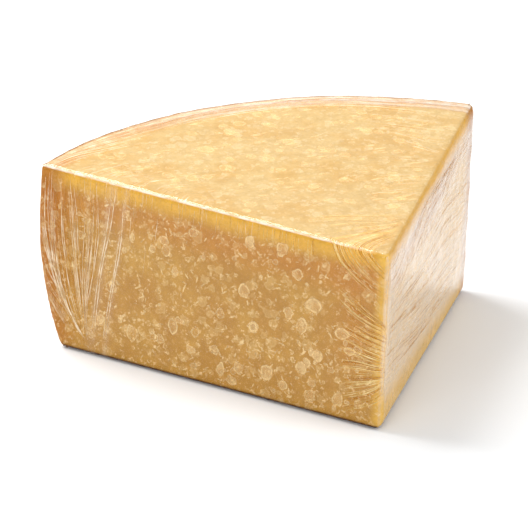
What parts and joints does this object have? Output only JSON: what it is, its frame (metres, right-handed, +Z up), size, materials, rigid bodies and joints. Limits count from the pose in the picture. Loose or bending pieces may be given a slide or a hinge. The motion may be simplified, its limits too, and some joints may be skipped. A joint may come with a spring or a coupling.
{
  "type": "film-wrapped wedge of hard grating cheese",
  "caption": "Film-wrapped sector of a level-split wheel of hard, golden grating cheese, with two cut faces, a bulging rind and a top that slopes gently to the tip.",
  "frame": {"origin": "middle of the bounding box at the flat base it rests on", "axes": "+Z up, +Y from the tip towards the rind, +X to the right as seen from the tip"},
  "size_m": [0.2548, 0.2084, 0.1116],
  "materials": {
    "film_wrapped_paste": "golden granular paste under tight, glossy clear film"
  },
  "bodies": {
    "root": {"wrapped_cheese": "film_wrapped_paste"}
  },
  "joints": []
}
